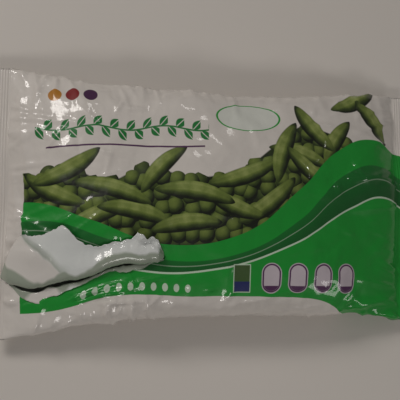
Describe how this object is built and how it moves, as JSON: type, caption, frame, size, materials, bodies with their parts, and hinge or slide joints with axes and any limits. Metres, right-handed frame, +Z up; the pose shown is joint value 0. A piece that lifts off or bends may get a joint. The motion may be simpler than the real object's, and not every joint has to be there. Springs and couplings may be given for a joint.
{
  "type": "frozen vegetable pillow bag",
  "caption": "Torn-open plastic pillow bag of frozen pea pods, lying on its back, with crimped end seals and its torn film folded back over the front.",
  "frame": {"origin": "on the surface that the bag lies on, under the middle of its bounding box", "axes": "+X along the bag from its torn end seal to its other one, +Y across it towards the print's top edge, +Z up out of the printed front"},
  "size_m": [0.285, 0.1784, 0.0472],
  "materials": {
    "film": "white polyethylene film, semi-gloss, printed in three greens on its front",
    "pod_skin": "waxy green pea pod skin, lightly frosted"
  },
  "bodies": {
    "root": {"film_bag": "film", "pod_01": "pod_skin", "pod_02": "pod_skin", "pod_03": "pod_skin", "pod_04": "pod_skin", "pod_05": "pod_skin", "pod_06": "pod_skin", "pod_07": "pod_skin", "pod_08": "pod_skin", "pod_09": "pod_skin", "pod_10": "pod_skin", "pod_11": "pod_skin", "pod_12": "pod_skin", "pod_13": "pod_skin", "pod_14": "pod_skin", "pod_15": "pod_skin", "pod_16": "pod_skin", "pod_17": "pod_skin", "pod_18": "pod_skin", "pod_19": "pod_skin", "pod_20": "pod_skin", "pod_21": "pod_skin", "pod_22": "pod_skin", "pod_23": "pod_skin", "pod_24": "pod_skin", "pod_25": "pod_skin", "pod_26": "pod_skin", "pod_27": "pod_skin", "pod_28": "pod_skin", "pod_29": "pod_skin", "pod_30": "pod_skin", "pod_31": "pod_skin", "pod_32": "pod_skin", "pod_33": "pod_skin", "pod_34": "pod_skin", "pod_35": "pod_skin", "pod_36": "pod_skin", "pod_37": "pod_skin", "pod_38": "pod_skin", "pod_39": "pod_skin", "pod_40": "pod_skin", "pod_41": "pod_skin", "pod_42": "pod_skin", "pod_43": "pod_skin", "pod_44": "pod_skin", "pod_45": "pod_skin", "pod_46": "pod_skin", "pod_47": "pod_skin", "pod_48": "pod_skin", "pod_49": "pod_skin", "pod_50": "pod_skin", "pod_51": "pod_skin"}
  },
  "joints": []
}
